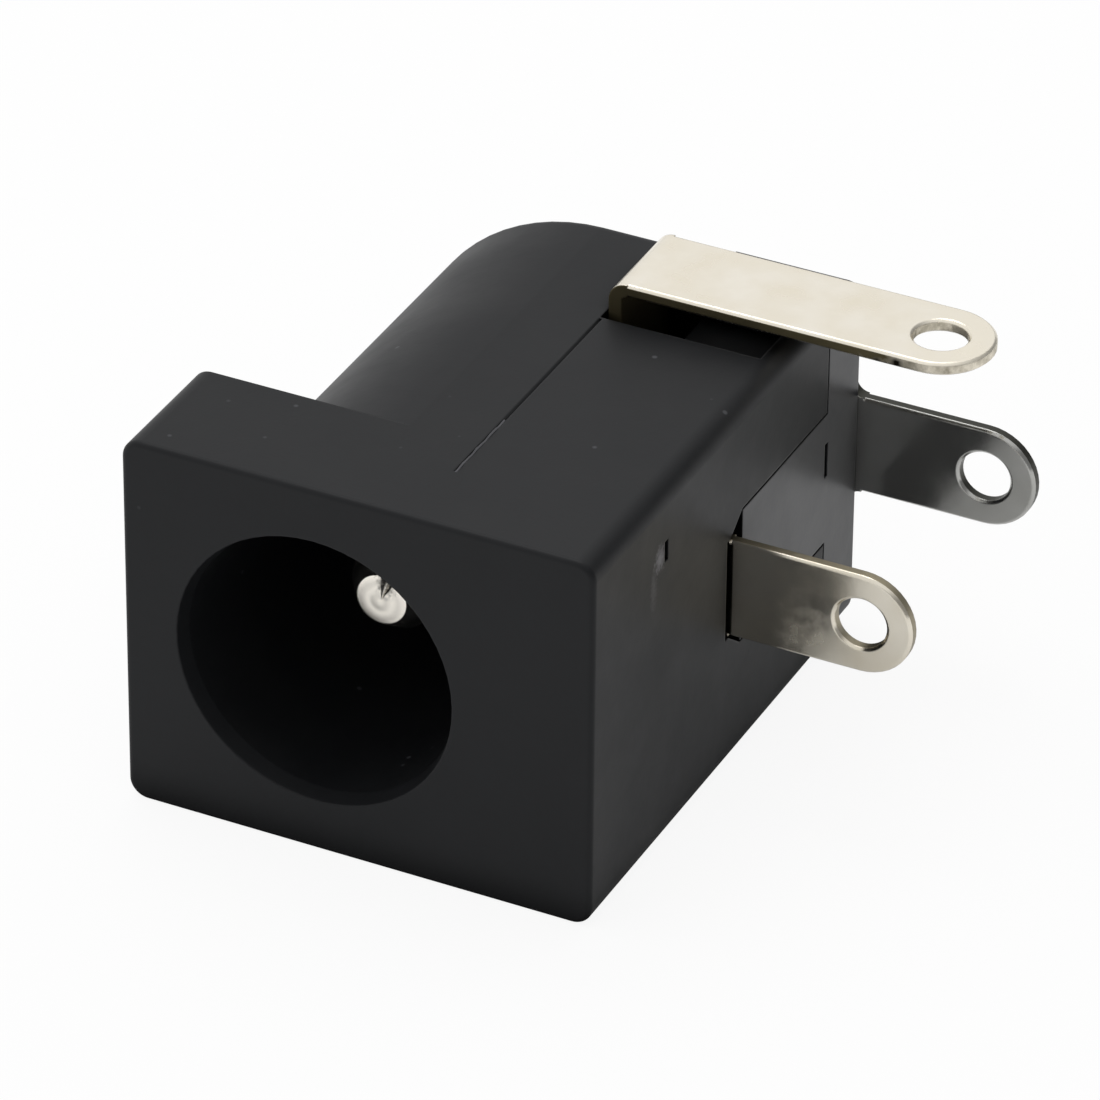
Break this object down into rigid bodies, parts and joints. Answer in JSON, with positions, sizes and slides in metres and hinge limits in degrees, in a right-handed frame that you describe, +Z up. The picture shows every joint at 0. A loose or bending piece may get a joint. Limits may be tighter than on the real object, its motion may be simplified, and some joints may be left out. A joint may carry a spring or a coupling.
{
  "type": "dc barrel jack",
  "caption": "Board-mount DC power jack: square flange, round socket with a centre pin, and solder lugs for pin, sleeve spring and switch contact.",
  "frame": {"origin": "centre of the bounding box at the surface that the jack lies on", "axes": "the jack lies on its flat side as if set down on a bench: +Z up, the socket opens towards -Y, the board face and the lugs point towards +X, and the switch lug is on top"},
  "size_m": [0.0152, 0.0142, 0.0098],
  "materials": {
    "housing_plastic": "fine matte, moulded",
    "cover_plastic": "smooth matte, moulded",
    "pin_plating": "nickel plated, bright",
    "terminal_plating": "tin plated, satin bright"
  },
  "bodies": {
    "root": {"housing": "housing_plastic", "rear_cover": "cover_plastic", "centre_pin": "pin_plating", "centre_terminal": "terminal_plating", "sleeve_contact": "terminal_plating", "switch_contact": "terminal_plating"}
  },
  "joints": []
}
